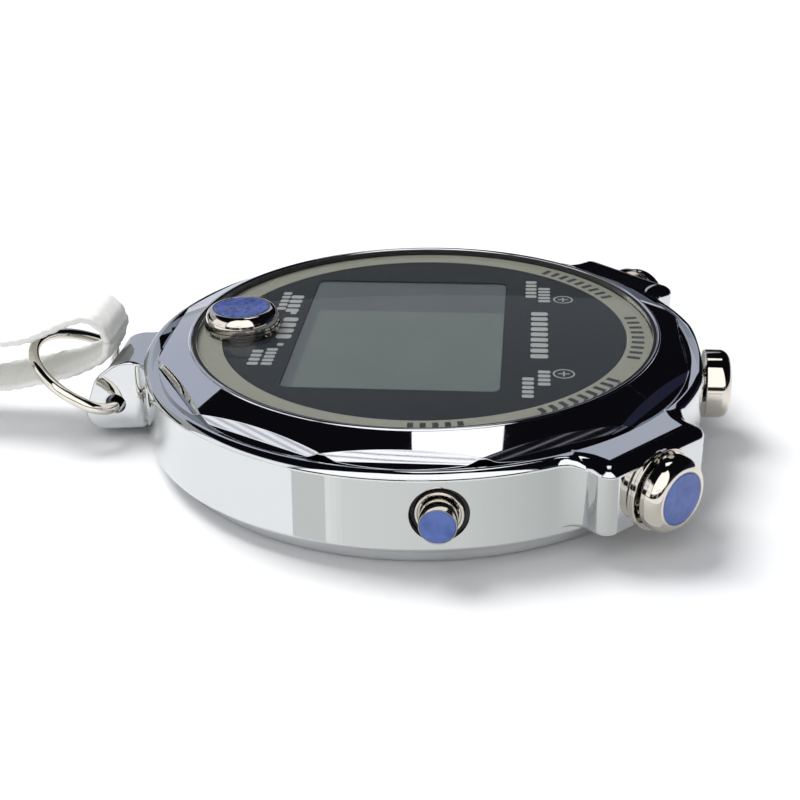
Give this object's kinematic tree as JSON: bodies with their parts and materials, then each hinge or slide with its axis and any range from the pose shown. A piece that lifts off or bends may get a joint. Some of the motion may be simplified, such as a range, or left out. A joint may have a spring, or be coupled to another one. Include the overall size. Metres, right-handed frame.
{
  "type": "digital stopwatch",
  "caption": "Handheld digital stopwatch in a round chrome case, with blue-capped push buttons, a wire ring and a flat woven neck lanyard.",
  "frame": {"origin": "centre of the back cover's flat face, on the case's axis", "axes": "+Z out of the display, +Y towards the twelve o'clock button, +X towards the three o'clock button"},
  "size_m": [0.0645, 0.224, 0.0148],
  "materials": {
    "case_chrome": "mirror polished",
    "clear_lens": "clear, polished",
    "black_rubber": "matt",
    "dial_print": "printed, matt",
    "chapter_print": "printed, matt",
    "lcd_glass": "dark grey-green",
    "diffuser": "frosted",
    "zebra_rubber": "banded, matt",
    "frame_plastic": "moulded",
    "board_laminate": "green solder mask",
    "switch_metal": "stamped",
    "chip_resin": "cast resin",
    "screw_steel": "bright",
    "cell_steel": "satin",
    "contact_nickel": "bright",
    "insulator_film": "film",
    "sounder_brass": "bright",
    "ring_nickel": "nickel plated, polished",
    "button_nickel": "nickel plated, polished",
    "blue_cap": "blue, slightly mottled",
    "spring_steel": "bright",
    "strap_weave": "flat woven, off-white",
    "tie_wire": "coated wire"
  },
  "bodies": {
    "case": {"case": "case_chrome", "bezel": "case_chrome", "lens": "clear_lens", "lens_gasket": "black_rubber", "dial": "dial_print", "chapter_ring": "chapter_print", "lcd_cell": "lcd_glass", "lcd_backlight": "diffuser", "zebra_strips": "zebra_rubber", "module_frame": "frame_plastic", "circuit_board": "board_laminate", "tact_switches": "switch_metal", "chip_and_crystal": "chip_resin", "module_screws": "screw_steel", "battery": "cell_steel", "battery_clip": "contact_nickel", "battery_insulator": "insulator_film", "sounder_disc": "sounder_brass", "sounder_spring": "contact_nickel", "back_gasket": "black_rubber", "back_cover": "case_chrome", "back_screws": "screw_steel", "start_stop_sleeve": "button_nickel", "start_stop_spring": "spring_steel", "lap_reset_sleeve": "button_nickel", "lap_reset_spring": "spring_steel", "recall_sleeve": "button_nickel", "recall_spring": "spring_steel", "light_sleeve": "button_nickel", "light_spring": "spring_steel", "mode_sleeve": "button_nickel", "mode_spring": "spring_steel", "lanyard_strap": "strap_weave", "lanyard_hank": "strap_weave", "lanyard_tie": "tie_wire"},
    "start_stop": {"start_stop_button": "button_nickel", "start_stop_cap": "blue_cap", "start_stop_seal": "black_rubber", "start_stop_clip": "spring_steel"},
    "lap_reset": {"lap_reset_button": "button_nickel", "lap_reset_cap": "blue_cap", "lap_reset_seal": "black_rubber", "lap_reset_clip": "spring_steel"},
    "recall": {"recall_button": "button_nickel", "recall_seal": "black_rubber", "recall_clip": "spring_steel"},
    "light": {"light_button": "button_nickel", "light_cap": "blue_cap", "light_seal": "black_rubber", "light_clip": "spring_steel"},
    "mode": {"mode_button": "button_nickel", "mode_cap": "blue_cap", "mode_seal": "black_rubber", "mode_clip": "spring_steel"},
    "ring": {"split_ring": "ring_nickel"}
  },
  "joints": [
    {"name": "start_stop_push", "type": "slide", "parent": "case", "child": "start_stop", "axis": [-0.7071, -0.7071, 0], "range_m": [0, 0.0006], "stiffness_N_per_m": 400, "springref_m": -0.0006, "deforming": ["start_stop_spring"]},
    {"name": "lap_reset_push", "type": "slide", "parent": "case", "child": "lap_reset", "axis": [0.7071, -0.7071, 0], "range_m": [0, 0.0006], "stiffness_N_per_m": 400, "springref_m": -0.0006, "deforming": ["lap_reset_spring"]},
    {"name": "recall_push", "type": "slide", "parent": "case", "child": "recall", "axis": [0, -1, 0], "range_m": [0, 0.0006], "stiffness_N_per_m": 400, "springref_m": -0.0006, "deforming": ["recall_spring"]},
    {"name": "light_push", "type": "slide", "parent": "case", "child": "light", "axis": [-1, 0, 0], "range_m": [0, 0.0006], "stiffness_N_per_m": 400, "springref_m": -0.0006, "deforming": ["light_spring"]},
    {"name": "mode_push", "type": "slide", "parent": "case", "child": "mode", "axis": [0, 0, -1], "range_m": [0, 0.0006], "stiffness_N_per_m": 400, "springref_m": -0.0006, "deforming": ["mode_spring"]},
    {"name": "ring_swing", "type": "hinge", "parent": "case", "child": "ring", "pos_m": [0, -0.0348, 0.0042], "axis": [1, 0, 0], "range_deg": [-20, 25], "deforming": ["lanyard_strap"]}
  ]
}
